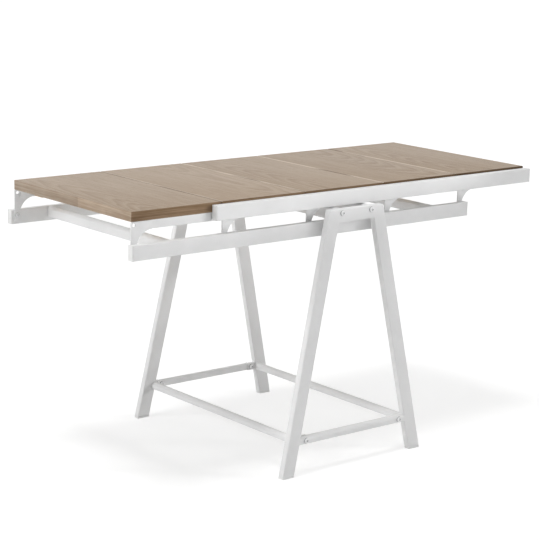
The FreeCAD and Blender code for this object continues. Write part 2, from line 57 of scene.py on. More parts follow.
def activate(obj):
    if bpy.context.object and bpy.context.object.mode != "OBJECT":
        bpy.ops.object.mode_set(mode="OBJECT")
    bpy.ops.object.select_all(action="DESELECT")
    obj.select_set(True)
    bpy.context.view_layer.objects.active = obj


def applyPlace(obj):
    activate(obj)
    bpy.ops.object.transform_apply(location=True, rotation=True, scale=True)


def applyModifier(obj, kind, **settings):
    modifier = obj.modifiers.new(kind.title(), kind)
    for name, value in settings.items():
        setattr(modifier, name, value)
    activate(obj)
    bpy.ops.object.modifier_apply(modifier=modifier.name)


def easeEdges(obj, width, segments, degrees):
    # rounds every edge that turns by more than the angle
    applyModifier(obj, "BEVEL", width=width, segments=segments, limit_method="ANGLE",
                  angle_limit=math.radians(degrees))


def cutAway(obj, cutter):
    applyModifier(obj, "BOOLEAN", operation="DIFFERENCE", solver="EXACT", object=cutter)
    bpy.data.objects.remove(cutter)


def takeNew(name):
    # names the primitive that was just added
    obj = bpy.context.object
    obj.name = obj.data.name = name
    applyPlace(obj)
    return obj


def newCube(name, low, high):
    bpy.ops.object.select_all(action="DESELECT")
    middle = [(a + b) / 2 for a, b in zip(low, high)]
    size = [b - a for a, b in zip(low, high)]
    bpy.ops.mesh.primitive_cube_add(size=1, location=middle, scale=size)
    return takeNew(name)


def newRod(name, radius, sides, start, length, turn=(0, 0, 0)):
    bpy.ops.object.select_all(action="DESELECT")
    middle = Vector(start) + Euler(turn).to_matrix() @ Vector((0, 0, length / 2))
    bpy.ops.mesh.primitive_cylinder_add(vertices=sides, radius=radius, depth=length,
                                        location=middle, rotation=turn)
    return takeNew(name)


def startPick(obj, kind):
    activate(obj)
    bpy.ops.object.mode_set(mode="EDIT")
    bpy.ops.mesh.select_mode(type=kind)
    bpy.ops.mesh.select_all(action="DESELECT")
    bpy.ops.object.mode_set(mode="OBJECT")


def pickFaces(obj, test):
    startPick(obj, "FACE")
    for face in obj.data.polygons:
        face.select = test(face)
    bpy.ops.object.mode_set(mode="EDIT")


def pickEdges(obj, test):
    startPick(obj, "EDGE")
    points = obj.data.vertices
    for edge in obj.data.edges:
        edge.select = test(*(points[i].co for i in edge.vertices))
    bpy.ops.object.mode_set(mode="EDIT")


def pickVertex(obj, index):
    startPick(obj, "VERT")
    obj.data.vertices[index].select = True
    bpy.ops.object.mode_set(mode="EDIT")


def smoothSides(obj, degrees=32):
    activate(obj)
    bpy.ops.object.shade_smooth_by_angle(angle=math.radians(degrees))


def copyTo(obj, name, place, turn=(0, 0, 0)):
    twin = obj.copy()
    twin.data = obj.data.copy()
    twin.name = twin.data.name = name
    bpy.context.collection.objects.link(twin)
    twin.matrix_world = Matrix.Translation(place) @ Euler(turn).to_matrix().to_4x4()
    applyPlace(twin)
    return twin


def joinAll(objs, name):
    activate(objs[0])
    for obj in objs:
        obj.select_set(True)
    bpy.ops.object.join()
    joined = bpy.context.object
    joined.name = joined.data.name = name
    return joined


# shader helpers: a wrapped socket that takes part in arithmetic

class NodeValue:
    def __init__(self, tree, socket):
        self.tree = tree
        self.socket = socket

    def maths(self, operation, other=None, swapped=False):
        parts = (other, self) if swapped else (self, other)
        inputs = {i: part for i, part in enumerate(parts) if part is not None}
        return addNode(self.tree, "ShaderNodeMath", {"operation": operation}, inputs)

    def __add__(self, other):
        return self.maths("ADD", other)

    def __sub__(self, other):
        return self.maths("SUBTRACT", other)

    def __rsub__(self, other):
        return self.maths("SUBTRACT", other, True)

    def __mul__(self, other):
        return self.maths("MULTIPLY", other)

    def __pow__(self, other):
        return self.maths("POWER", other)


def addNode(tree, kind, settings=None, inputs=None, output=0):
    node = tree.nodes.new(kind)
    for name, value in (settings or {}).items():
        if name == "stops":
            ramp = node.color_ramp
            while len(ramp.elements) < len(value):
                ramp.elements.new(0.5)
            for element, (place, colour) in zip(ramp.elements, value):
                element.position = place
                element.color = (*colour, 1)
        else:
            setattr(node, name, value)
    for key, value in (inputs or {}).items():
        if isinstance(value, NodeValue):
            tree.links.new(value.socket, node.inputs[key])
        else:
            node.inputs[key].default_value = value
    return NodeValue(tree, node.outputs[output]) if len(node.outputs) else None


def linear(*levels):
    # colour as read off a picture, 0 to 255, made linear by the sRGB curve
    shares = [level / 255 for level in levels]
    return tuple(((share + 0.055) / 1.055) ** 2.4 if share > 0.04045 else share / 12.92 for share in shares)


def startFinish(name):
    material = bpy.data.materials.new(name)
    material.use_nodes = True
    tree = material.node_tree
    tree.nodes.clear()
    return material, tree


def closeFinish(tree, fixed, linked):
    shader = tree.nodes.new("ShaderNodeBsdfPrincipled")
    for name, value in fixed.items():
        shader.inputs[name].default_value = value
    for name, value in linked.items():
        tree.links.new(value.socket, shader.inputs[name])
    addNode(tree, "ShaderNodeOutputMaterial", None, {"Surface": NodeValue(tree, shader.outputs[0])})


def coordinate(tree, kind):
    return addNode(tree, "ShaderNodeTexCoord", output=kind)


def axisOf(tree, vector, axis):
    return addNode(tree, "ShaderNodeSeparateXYZ", None, {0: vector}, axis)


def splitXyz(tree, vector):
    return [axisOf(tree, vector, axis) for axis in range(3)]


def joinXyz(tree, x, y, z):
    return addNode(tree, "ShaderNodeCombineXYZ", None, {0: x, 1: y, 2: z})


def noise(tree, vector, scale=1.0, detail=3.0, rough=0.5):
    return addNode(tree, "ShaderNodeTexNoise", None,
                   {"Vector": vector, "Scale": scale, "Detail": detail, "Roughness": rough})


def ease(tree, value, low, high, fromTone=0.0, toTone=1.0):
    return addNode(tree, "ShaderNodeMapRange", {"interpolation_type": "SMOOTHSTEP"},
                   {0: value, 1: low, 2: high, 3: fromTone, 4: toTone})


def blendColour(tree, factor, first, second, mode="MIX"):
    colours = [c if isinstance(c, NodeValue) else (*c, 1) for c in (first, second)]
    return addNode(tree, "ShaderNodeMix", {"data_type": "RGBA", "blend_type": mode},
                   {0: factor, 6: colours[0], 7: colours[1]}, 2)


def bump(tree, height, distance, strength):
    return addNode(tree, "ShaderNodeBump", None,
                   {"Height": height, "Distance": distance, "Strength": strength})


# oak veneer: growth rings cut by the board's face, fibres and pores along the grain, banded edges

oak = {
    "pale": linear(178, 161, 143),
    "mid": linear(166, 148, 129),
    "dark": linear(141, 121, 101),
    "pore": linear(112, 93, 75),
    "edgePale": linear(150, 126, 101),
    # long edge bands: a browner banding, partly painted shade
    "edgeDark": linear(112, 88, 64),
    "seam": linear(70, 53, 38),
    # painted shadow low in the seam grooves, and a painted highlight on their upper arris
    "arrisHighlight": linear(224, 211, 196),
    "backing": linear(228, 228, 226),      # white balancing sheet under the boards
    "top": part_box("extension_leaf")[1][2],      # level of the upper face
    "groove": 0.0030,      # V-groove at the seams
    "arris": 0.0007,      # eased other edges
    # for each board: middle of the crown across the grain, its depth and slope, rings per metre and how much
    # they show, the tones of the face and of the front band, both partly painted shade that darkens toward
    # the right end, how far down the seam's arris the painted highlight reaches and how much that varies
    # along it
    "boards": {
        "extension_leaf": (-0.640, 0.100, 0.060, 190, 0.2, 1.02, 1.0, 0.5, 0.2),
        "top_board_1": (-0.215, 0.140, -0.050, 165, 0.2, 1.05, 0.80, 0.55, 0.2),
        "top_board_2": (-0.050, 0.120, 0.045, 190, 0.2, 0.99, 0.70, 0.75, 0.5),
        "top_board_3": (0.335, 0.150, -0.075, 150, 0.25, 0.965, 0.55, 0.7, 0.6),
        "top_board_4": (0.500, 0.070, 0.080, 130, 0.25, 0.96, 0.45, 0.7, 0.6),
    },
    "seedStep": 37.0,      # sets the boards' noise apart
    # waves of the rings and of their depth: waves per metre across and along the grain, and how far they go
    "wander": (9.0, 1.6, 0.05),
    "sway": (3.0, 2.1, 0.03),
    # marks in the face: cells per metre across and along the grain, place in the noise, detail, roughness
    "marks": {
        "jitter": (140.0, 7.0, 0.0, 2.0, 0.5),
        "fibre": (420.0, 9.0, 0.0, 4.0, 0.62),
        "streak": (80.0, 2.2, 4.0, 3.0, 0.55),
        "cloud": (7.0, 2.0, 9.0, 2.0, 0.5),
        "fleck": (260.0, 26.0, 2.0, 3.0, 0.6),
        "pore": (1500.0, 42.0, 0.0, 2.0, 0.5),
    },
    "darkening": {"fibre": 0.75, "fleck": 0.55, "streak": 0.5, "cloud": 0.35},
    "usualShade": 0.38,
    # shares of a ring where dark late growth rises and ends, and where pale early growth does
    "lateRise": (0.25, 0.9), "lateFall": (1.0, 0.93),
    "earlyRise": (0.0, 0.1), "earlyFall": (0.4, 0.2),
    "crownReach": (0.1, 0.02),      # the rings stand out this near to the crown
    "poreCut": (0.58, 0.7), "poreInRing": (0.75, 0.2, 0.35, 1.0),      # fewer pores in late growth
    "bandLines": (5.0, 260.0), "bandDrift": (14.0, 30.0),      # cells per metre along the band and in height
    "bandJoint": -0.035,      # butt joint in the band of the leaf's end
    "bandHalves": (-0.0004, 0.0004, 1.2, 0.97), "bandMark": (0.0004, 0.0012, 0.72, 1.0),
    # parts of the normal that tell end bands, upper face, underside and the slopes of a seam apart
    "toEnd": (0.4, 0.8), "toFace": (0.35, 0.6), "toBack": (-0.55, -0.9),
    "slopeFrom": (0.15, 0.35), "slopeTo": (0.99, 0.96),
    "freeEnds": (0.69, 0.685),      # no seam beyond this, at either end of the table
    # painted highlight on the seams' upper arris: patches along the seam, depth reached, fade; then how much
    # pores, painted seam shadow and painted highlight show
    "highlightPatches": 6.0, "highlightCut": (0.36, 0.64),      # pale patches per metre along the seam
    "highlightDepth": 0.0012, "highlightFade": (0.00015, -0.00015),
    "poreShow": 0.45, "seamShadowShow": 0.9, "highlightShow": 0.85,
    "relief": 0.00025, "specular": 0.2,
}


def oakFinish(name, crown, depth, slope, rings, figure, faceToneAndShade, bandToneAndShade, arrisHighlight, highlightVariation):
    material, tree = startFinish(name)
    x, y, z = splitXyz(tree, coordinate(tree, "Object"))
    seed = crown * oak["seedStep"]
    marks = {}
    for key, (wide, long, shift, detail, rough) in oak["marks"].items():
        marks[key] = noise(tree, joinXyz(tree, x * wide, y * long, seed + shift), detail=detail, rough=rough)
    # slow wander of the grain, then the ring number at this point of the face
    wide, long, far = oak["wander"]
    wander = noise(tree, joinXyz(tree, x * wide, y * long + seed, seed), detail=2.0)
    across = x - crown + (wander - 0.5) * far
    wide, long, far = oak["sway"]
    sway = noise(tree, joinXyz(tree, seed, y * long, x * wide), detail=1.0)
    under = y * slope + depth + (sway - 0.5) * far
    radius = (across * across + under * under) ** 0.5
    ring = (radius * rings + marks["jitter"] * 0.7).maths("FRACT")
    late = ease(tree, ring, *oak["lateRise"]) * ease(tree, ring, *oak["lateFall"])
    early = ease(tree, ring, *oak["earlyRise"]) * ease(tree, ring, *oak["earlyFall"])
    crownPart = ease(tree, across.maths("ABSOLUTE"), *oak["crownReach"]) * figure
    pores = ease(tree, marks["pore"], *oak["poreCut"]) * ease(tree, ring, *oak["poreInRing"])
    shade = late * (crownPart * 0.7 + 0.13) - early * crownPart * 0.5
    for key, share in oak["darkening"].items():
        shade = shade + (marks[key] - 0.5) * share
    shade = shade + oak["usualShade"]
    stops = [(0.0, oak["pale"]), (0.45, oak["mid"]), (1.0, oak["dark"])]
    face = addNode(tree, "ShaderNodeValToRGB", {"stops": stops}, {0: shade})
    face = blendColour(tree, pores * oak["poreShow"], face, oak["pore"])
    # each board's tone, partly painted shade: lighter at the left end, darker toward the right
    face = blendColour(tree, 1.0, face, (faceToneAndShade, faceToneAndShade, faceToneAndShade), "MULTIPLY")
    # bands on the long edges are browner and darker, partly painted shade that deepens toward the right end;
    # those on the ends like the face; streaks run along both
    long, wide = oak["bandLines"]
    lines = noise(tree, joinXyz(tree, x * long, y * long, z * wide), detail=4.0, rough=0.6)
    long, wide = oak["bandDrift"]
    drift = noise(tree, joinXyz(tree, x * long, y * long, z * wide), detail=2.0)
    grainLine = ease(tree, lines * 0.75 + drift * 0.25, 0.3, 0.7)
    edge = blendColour(tree, grainLine, oak["edgePale"], oak["edgeDark"])
    edge = blendColour(tree, 1.0, edge, (bandToneAndShade, bandToneAndShade, bandToneAndShade), "MULTIPLY")
    end = blendColour(tree, grainLine, oak["pale"], oak["dark"])
    if name.endswith("leaf"):      # two lengths of band meet in the leaf's end
        fromJoint = y - oak["bandJoint"]
        half = ease(tree, fromJoint, *oak["bandHalves"])
        mark = ease(tree, fromJoint.maths("ABSOLUTE"), *oak["bandMark"])
        end = blendColour(tree, 1.0, end, joinXyz(tree, *[half * mark] * 3), "MULTIPLY")
    normal = coordinate(tree, "Normal")
    toX, toZ = axisOf(tree, normal, 0).maths("ABSOLUTE"), axisOf(tree, normal, 2)
    colour = blendColour(tree, ease(tree, toX, *oak["toEnd"]), edge, end)
    colour = blendColour(tree, ease(tree, toZ, *oak["toFace"]), colour, face)
    colour = blendColour(tree, ease(tree, toZ, *oak["toBack"]), colour, oak["backing"])
    # painted shadow low in the seam grooves, and a painted highlight on their upper arris
    sloped = ease(tree, toX, *oak["slopeFrom"]) * ease(tree, toX, *oak["slopeTo"])
    sloped = sloped * ease(tree, x.maths("ABSOLUTE"), *oak["freeEnds"])
    highlightReach = noise(tree, joinXyz(tree, seed, y * oak["highlightPatches"], 0.0), detail=1.0)
    highlightReach = ease(tree, highlightReach, *oak["highlightCut"], arrisHighlight - highlightVariation, arrisHighlight + highlightVariation)
    # how far below the top the painted highlight reaches; the painted shadow lies beneath it
    high = ease(tree, oak["top"] - z - highlightReach * oak["highlightDepth"], *oak["highlightFade"])
    colour = blendColour(tree, sloped * (1.0 - high) * oak["seamShadowShow"], colour, oak["seam"])
    colour = blendColour(tree, sloped * high * oak["highlightShow"], colour, oak["arrisHighlight"])
    rough = (marks["fibre"] - 0.5) * 0.18 + pores * 0.12 + 0.5
    height = marks["fibre"] * 0.35 - pores * 0.8 - late * 0.2
    relief = bump(tree, height, oak["relief"], 0.5)
    closeFinish(tree, {"Specular IOR Level": oak["specular"]},
                {"Base Color": colour, "Roughness": rough, "Normal": relief})
    return material


# powder coat: fine orange peel and a slight sheen variation; peel, grit and clouds in cells per metre

coat = {"white": linear(236, 236, 236), "shade": linear(229, 229, 229),
        "peel": 950.0, "grit": 2945.0, "cloud": 9.0, "relief": 0.00012, "specular": 0.2}


def powderFinish(name):
    material, tree = startFinish(name)
    point = coordinate(tree, "Object")
    peel = noise(tree, point, coat["peel"], detail=2.0)
    grit = noise(tree, point, coat["grit"], detail=1.0)
    cloud = noise(tree, point, coat["cloud"], detail=3.0)
    colour = blendColour(tree, ease(tree, cloud * 0.7 + grit * 0.3, 0.3, 0.7), coat["white"], coat["shade"])
    rough = cloud * 0.1 + grit * 0.06 + 0.5
    height = peel * 0.7 + grit * 0.3
    normal = bump(tree, height, coat["relief"], 0.35)
    closeFinish(tree, {"Specular IOR Level": coat["specular"]},
                {"Base Color": colour, "Roughness": rough, "Normal": normal})
    return material


# moulded white plastic of the caps, feet, clips and glide strips; spark and clouds in cells per metre

plastic = {"white": linear(236, 236, 235), "shade": linear(228, 228, 227),
           "spark": 1700.0, "cloud": 22.0, "relief": 0.00008, "specular": 0.3}


def plasticFinish(name):
    material, tree = startFinish(name)
    point = coordinate(tree, "Object")
    spark = noise(tree, point, plastic["spark"], detail=2.0, rough=0.7)
    cloud = noise(tree, point, plastic["cloud"], detail=2.0)
    colour = blendColour(tree, ease(tree, cloud, 0.35, 0.65), plastic["white"], plastic["shade"])
    rough = spark * 0.14 + 0.42
    normal = bump(tree, spark, plastic["relief"], 0.4)
    closeFinish(tree, {"Specular IOR Level": plastic["specular"]},
                {"Base Color": colour, "Roughness": rough, "Normal": normal})
    return material


# zinc plated fasteners: painted shade darkens the flank round each head; stain and grain in cells per metre

zinc = {
    # for each kind: bright and dull parts of the face, painted shade of the flank, and how metallic the
    # plating still is
    "zincSteel": (linear(238, 238, 238), linear(220, 220, 221), linear(146, 146, 148), 0.45),
    "zincDulled": (linear(218, 218, 219), linear(204, 204, 205), linear(146, 146, 148), 0.5),
    "stain": 160.0, "grain": 2600.0, "relief": 0.00003,
}


def zincFinish(name):
    material, tree = startFinish(name)
    point = coordinate(tree, "Object")
    bright, dull, flankShade, metal = zinc[name]
    stain = noise(tree, point, zinc["stain"], detail=4.0, rough=0.6)
    grain = noise(tree, point, zinc["grain"], detail=2.0)
    colour = blendColour(tree, ease(tree, stain, 0.35, 0.7), bright, dull)
    # painted shade on the head's flank, where the normal turns away from the bolt's axis
    along = axisOf(tree, coordinate(tree, "Normal"), 1).maths("ABSOLUTE")
    colour = blendColour(tree, ease(tree, along, 0.75, 0.35), colour, flankShade)
    rough = stain * 0.16 + grain * 0.08 + 0.2
    normal = bump(tree, grain, zinc["relief"], 0.3)
    closeFinish(tree, {"Metallic": metal}, {"Base Color": colour, "Roughness": rough, "Normal": normal})
    return material


# planed softwood of the battens and stop blocks, grain along X or Y; cells per metre across and along it

pine = {"pale": linear(214, 188, 150), "dark": linear(182, 146, 104),
        "bands": (110.0, 2.0), "fibre": (700.0, 14.0), "relief": 0.0002, "specular": 0.3}


def pineFinish(name, along):
    material, tree = startFinish(name)
    x, y, z = splitXyz(tree, coordinate(tree, "Object"))
    grainWay, side = (x, y) if along == "x" else (y, x)
    wide, long = pine["bands"]
    bands = noise(tree, joinXyz(tree, side * wide, z * wide, grainWay * long), detail=3.0, rough=0.55)
    wide, long = pine["fibre"]
    fibre = noise(tree, joinXyz(tree, side * wide, z * wide, grainWay * long), detail=2.0)
    darker = ease(tree, bands * 0.8 + fibre * 0.2, 0.35, 0.68)
    colour = blendColour(tree, darker, pine["pale"], pine["dark"])
    rough = fibre * 0.2 + 0.52
    normal = bump(tree, bands + fibre, pine["relief"], 0.4)
    closeFinish(tree, {"Specular IOR Level": pine["specular"]},
                {"Base Color": colour, "Roughness": rough, "Normal": normal})
    return material


def wear(obj, material):
    obj.data.materials.clear()
    obj.data.materials.append(material)


powderCoat = powderFinish("powderCoatWhite")
capPlastic = plasticFinish("capPlasticWhite")
zincSteel = zincFinish("zincSteel")
zincDulled = zincFinish("zincDulled")
pineAlong = pineFinish("pineAlong", "x")
pineAcross = pineFinish("pineAcross", "y")
slotOf = {entry["node"]: entry["material_slot"] for entry in frame["record"]["subparts"]}
slotFinish = {"white_steel": powderCoat, "white_plastic": capPlastic, "steel_fastener": zincSteel,
              "batten_wood": pineAlong}
for name, obj in nodes.items():
    if slotOf[name] in slotFinish:
        wear(obj, slotFinish[slotOf[name]])
for name in ("open_stop", "closed_stop"):
    wear(nodes[name], pineAcross)
print("finishes done")


# boards: V-grooved at the seams, all other edges eased; the leaf's free end has no groove

def plank(name, isLeaf, low, high):
    board = newCube(name, low, high)
    firstX = low[0] + near if isLeaf else low[0] - near
    lowest = high[2] - near
    pickEdges(board, lambda one, two: abs(one.y - two.y) > longEdge and one.z > lowest and one.x > firstX)
    bpy.ops.mesh.bevel(offset=oak["groove"], segments=3, profile=0.5, affect="EDGES")
    bpy.ops.object.mode_set(mode="OBJECT")
    easeEdges(board, oak["arris"], segments=2, degrees=60)
    smoothSides(board, degrees=40)
    return board


for node, facts in oak["boards"].items():
    isLeaf = node == "extension_leaf"
    label = "leafBoard" if isLeaf else "topBoard" + node[-1]
    piece = plank(label, isLeaf, *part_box(node))
    wear(piece, oakFinish("oak_" + node, *facts))
    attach(piece, "leaf" if isLeaf else "top")
    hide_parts(node)
print("boards done")


# trestle frames: two legs, head bar and low bar welded and ground into one leaning frame

trestle = {
    "legSpan": 0.04095, "deep": 0.020,      # section of a leaning leg, cut level
    "columns": 3, "rows": 4, "openRows": (0, 2),      # cells of the frame, and the rows open between the legs
    "round": 0.0026, "barFlat": 0.007,
}
legLow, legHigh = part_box("front_left_leg")
barLow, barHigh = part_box("front_low_bar")
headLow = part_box("front_head_bar")[0]
rowLevels = (legLow[2], barLow[2], barHigh[2], headLow[2], legHigh[2])
legHeight = legHigh[2] - legLow[2]
halfAtFeet, halfAtHead = -legLow[0], trestle["legSpan"] - legHigh[0]      # outer leg edges along X
outAtFeet, outAtHead = -legLow[1], trestle["deep"] - legHigh[1]      # outer face along Y


def trestleSpot(sign, row, column):
    level = rowLevels[row]
    share = (level - legLow[2]) / legHeight
    outer = halfAtFeet + (halfAtHead - halfAtFeet) * share
    y = outAtFeet + (outAtHead - outAtFeet) * share
    x = (-outer, trestle["legSpan"] - outer, outer - trestle["legSpan"], outer)[column]
    return Vector((x, sign * y, level))


def trestleFrame(name, sign):
    columns, rows = trestle["columns"], trestle["rows"]
    bpy.ops.object.select_all(action="DESELECT")
    bpy.ops.mesh.primitive_grid_add(x_subdivisions=columns, y_subdivisions=rows, size=2)
    obj = takeNew(name)
    openings = [Vector((0, (2 * row + 1) / rows - 1)) for row in trestle["openRows"]]
    pickFaces(obj, lambda face: any((face.center.xy - spot).length < near for spot in openings))
    bpy.ops.mesh.delete(type="ONLY_FACE")
    bpy.ops.object.mode_set(mode="OBJECT")
    for vertex in range(len(obj.data.vertices)):
        here = obj.data.vertices[vertex].co.copy()
        column, row = round((here.x + 1) * columns / 2), round((here.y + 1) * rows / 2)
        pickVertex(obj, vertex)
        bpy.ops.transform.translate(value=trestleSpot(sign, row, column) - here)
    bpy.ops.mesh.select_all(action="SELECT")
    bpy.ops.mesh.delete_loose(use_verts=True, use_edges=True, use_faces=False)
    bpy.ops.mesh.select_all(action="SELECT")
    bpy.ops.mesh.extrude_region_move(TRANSFORM_OT_translate={"value": (0, -sign * trestle["deep"], 0)})
    bpy.ops.mesh.select_all(action="SELECT")
    bpy.ops.mesh.normals_make_consistent(inside=False)
    # a flat on the low bar's outer upper edge; the stretchers meet the inner one
    barEdge = trestleSpot(sign, 2, 1)
    pickEdges(obj, lambda *ends: abs(ends[0].x - ends[1].x) > longEdge
              and all((end.yz - barEdge.yz).length < near for end in ends))
    bpy.ops.mesh.bevel(offset=trestle["barFlat"], segments=1, affect="EDGES")
    bpy.ops.object.mode_set(mode="OBJECT")
    easeEdges(obj, trestle["round"], segments=3, degrees=30)
    smoothSides(obj)
    return obj


for end, sign in (("front", -1), ("rear", 1)):
    piece = trestleFrame(end + "Trestle", sign)
    wear(piece, powderCoat)
    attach(piece, "base")
    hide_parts(f"{end}_left_leg", f"{end}_right_leg", f"{end}_head_bar", f"{end}_low_bar")
print("trestle frames done")


# stretchers and tie bars: tubes with a broad flat along each upper edge, cut flush with what they meet

bars = {"flat": 0.007, "ease": 0.0016, "spare": 0.004}
frameLean = (outAtFeet - outAtHead) / legHeight      # slope of the frames' inner faces


def crossBar(name, node, lean):
    low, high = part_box(node)
    spare = Vector((0, bars["spare"], 0))
    bar = newCube(name, Vector(low) - spare, Vector(high) + spare)
    pickEdges(bar, lambda one, two: abs(one.y - two.y) > longEdge and one.z > high[2] - near)
    bpy.ops.mesh.bevel(offset=bars["flat"], segments=1, affect="EDGES")
    bpy.ops.object.mode_set(mode="OBJECT")
    easeEdges(bar, bars["ease"], segments=2, degrees=30)
    for sign, end in ((-1, low[1]), (1, high[1])):
        pickFaces(bar, lambda face: True)
        bpy.ops.mesh.bisect(plane_co=(0, end, low[2]), plane_no=(0, sign, lean),
                            use_fill=True, clear_outer=True)
        bpy.ops.object.mode_set(mode="OBJECT")
    smoothSides(bar)
    return bar


for node, label, lean in (("stretcher", "Stretcher", frameLean), ("tie_bar", "TieBar", 0.0)):
    left = crossBar("left" + label, "left_" + node, lean)
    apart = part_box("right_" + node)[0][0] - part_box("left_" + node)[0][0]
    right = copyTo(left, "right" + label, (apart, 0, 0))
    for piece, side in ((left, "left_"), (right, "right_")):
        wear(piece, powderCoat)
        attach(piece, "base")
        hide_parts(side + node)
print("stretchers and tie bars done")


# button-head bolts: domed head, hexagon socket and shank, modelled once for each size

bolts = {
    "frame": {"head": 0.0080, "high": 0.0044, "socket": 0.0029, "deep": 0.0026, "shank": 0.0040,
              "finish": zincSteel},
    "bracket": {"head": 0.0070, "high": 0.0030, "socket": 0.0022, "deep": 0.0016, "shank": 0.0030,
                "finish": zincDulled},
    "headLength": 0.0380, "lowLength": 0.02778,
}
# share of the head that is a straight rim, and the arc of the dome above it
dome = {"rim": 0.2, "turn": math.radians(66), "steps": 8, "sides": 40, "ease": 0.0002}


def buttonBolt(name, size, length):
    bolt = newRod(name, size["head"], dome["sides"], (0, 0, 0), size["high"] * dome["rim"])
    pickFaces(bolt, lambda face: face.normal.z > upright)
    rise = size["high"] * (1 - dome["rim"]) / math.sin(dome["turn"])
    for step in range(dome["steps"]):      # shrink and lift the crown ring by ring into a dome
        last, turn = (dome["turn"] * k / dome["steps"] for k in (step, step + 1))
        bpy.ops.mesh.extrude_region_move(TRANSFORM_OT_translate={"value": (0, 0, 0)})
        ratio = math.cos(turn) / math.cos(last)
        bpy.ops.transform.resize(value=(ratio, ratio, 1), center_override=(0, 0, 0))
        bpy.ops.transform.translate(value=(0, 0, rise * (math.sin(turn) - math.sin(last))))
    bpy.ops.object.mode_set(mode="OBJECT")
    bottom = (0, 0, size["high"] - size["deep"])
    cutAway(bolt, newRod(name + "Socket", size["socket"], 6, bottom, size["deep"] * 2))
    pickFaces(bolt, lambda face: face.normal.z < -upright and face.center.z < near)
    bpy.ops.mesh.extrude_region_move(TRANSFORM_OT_translate={"value": (0, 0, 0)})
    ratio = size["shank"] / size["head"]
    bpy.ops.transform.resize(value=(ratio, ratio, 1), center_override=(0, 0, 0))
    bpy.ops.mesh.extrude_region_move(TRANSFORM_OT_translate={"value": (0, 0, -length)})
    bpy.ops.object.mode_set(mode="OBJECT")
    easeEdges(bolt, dome["ease"], segments=2, degrees=38)
    smoothSides(bolt, degrees=40)
    return bolt


def boltSet(name, kind, length, places, node):
    # places: seat of each head and the turn of its axis
    model = buttonBolt(name + "Model", bolts[kind], length)
    copies = [copyTo(model, f"{name}{i}", place, turn) for i, (place, turn) in enumerate(places)]
    bpy.data.objects.remove(model)
    piece = joinAll(copies, name)
    wear(piece, bolts[kind]["finish"])
    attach(piece, "base")
    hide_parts(node)


toFront, toRear = (math.pi / 2, 0, 0), (-math.pi / 2, 0, 0)      # turns an axis from +Z to -Y or +Y


def boltSpan(node, kind):
    # from a set's box: its outer axis along X, its level, and its reach along Y
    low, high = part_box(node)
    return high[0] - bolts[kind]["head"], (low[2] + high[2]) / 2, high[1]


outX, level, reach = boltSpan("head_bolts", "frame")
seat = reach - bolts["frame"]["high"]
headPlaces = []
for x in (-outX, outX):
    headPlaces += [((x, -seat, level), toFront), ((x, seat, level), toRear)]
boltSet("headBolts", "frame", bolts["headLength"], headPlaces, "head_bolts")

outX, level, reach = boltSpan("low_bolts", "frame")
frontSeat, rearSeat = reach - bolts["frame"]["high"], reach - bolts["lowLength"]
lowPlaces = []
for x in (-outX, outX):
    lowPlaces += [((x, -frontSeat, level), toFront), ((x, rearSeat, level), toFront)]
boltSet("lowBolts", "frame", bolts["lowLength"], lowPlaces, "low_bolts")

outX, level, reach = boltSpan("bracket_bolts", "bracket")
plateCount = sum(node.startswith("rear_bracket_") for node in nodes)
plateBoxes = [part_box(f"rear_bracket_{index + 1}") for index in range(plateCount)]
plateLefts = [low[0] for low, high in plateBoxes]
plateLow, plateHigh = plateBoxes[-1]      # the last plate has the outer bolt
inner = plateLow[1]
platePlaces = []
for left in plateLefts:
    x = left + outX - plateLow[0]
    platePlaces += [((x, -inner, level), toRear), ((x, inner, level), toFront)]
boltSet("bracketBolts", "bracket", reach - inner, platePlaces, "bracket_bolts")
print("bolts done")


# bracket plates: narrow foot, quarter-round cut-out, eased edges

bracket = {"round": 0.048, "foot": 0.015, "ease": 0.0005, "arcSides": 128,
           "pegHole": 0.0045, "pegIn": 0.009, "pegDown": 0.008, "pegSides": 40,
           "over": 0.01}      # how far the cutters reach past the plate


def bracketPlate(name):
    over = bracket["over"]
    wide, thick = (Vector(plateHigh) - Vector(plateLow)).xy
    low, top = plateLow[2], plateHigh[2]
    arcLevel, pegLevel = low + bracket["foot"], top - bracket["pegDown"]
    plate = newCube(name, (0, 0, low), (wide, thick, top))
    cutAway(plate, newCube(name + "Below", (wide - bracket["round"], -over, low - over),
                           (wide + over, thick + over, arcLevel)))
    cutAway(plate, newRod(name + "Arc", bracket["round"], bracket["arcSides"], (wide, -over, arcLevel),
                          thick + 2 * over, toRear))
    cutAway(plate, newRod(name + "Peg", bracket["pegHole"], bracket["pegSides"],
                          (bracket["pegIn"], -over, pegLevel), thick + 2 * over, toRear))
    easeEdges(plate, bracket["ease"], segments=2, degrees=40)
    smoothSides(plate, degrees=40)
    return plate


plateModel = bracketPlate("plateModel")
for end, y in (("front", -plateHigh[1]), ("rear", plateLow[1])):
    for index, left in enumerate(plateLefts):
        piece = copyTo(plateModel, f"{end}BracketPlate{index + 1}", (left, y, 0))
        wear(piece, powderCoat)
        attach(piece, "base")
        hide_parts(f"{end}_bracket_{index + 1}")
bpy.data.objects.remove(plateModel)
print("bracket plates done")


# stage: pale floor that keeps the shadow, white surroundings for the camera and for reflections

stage = {"floorSize": 60.0, "floorBounce": 0.92, "shadowLift": 0.46, "glow": 1.25,
         "skyLow": 0.80, "skyHigh": 0.34, "skyRise": (0.12, 0.4),      # light from horizon and overhead
         "skyFront": 0.58, "frontFade": (-0.8, 0.3),      # share of it that comes from the front
         "skyLeft": 0.5, "leftFade": (-0.9, -0.1)}      # and from the left


def seenDirectly(tree):
    paths = tree.nodes.new("ShaderNodeLightPath")
    rays = ("Is Camera Ray", "Is Glossy Ray", "Is Transmission Ray")
    first, second, third = (NodeValue(tree, paths.outputs[ray]) for ray in rays)
    return first.maths("MAXIMUM", second).maths("MAXIMUM", third)


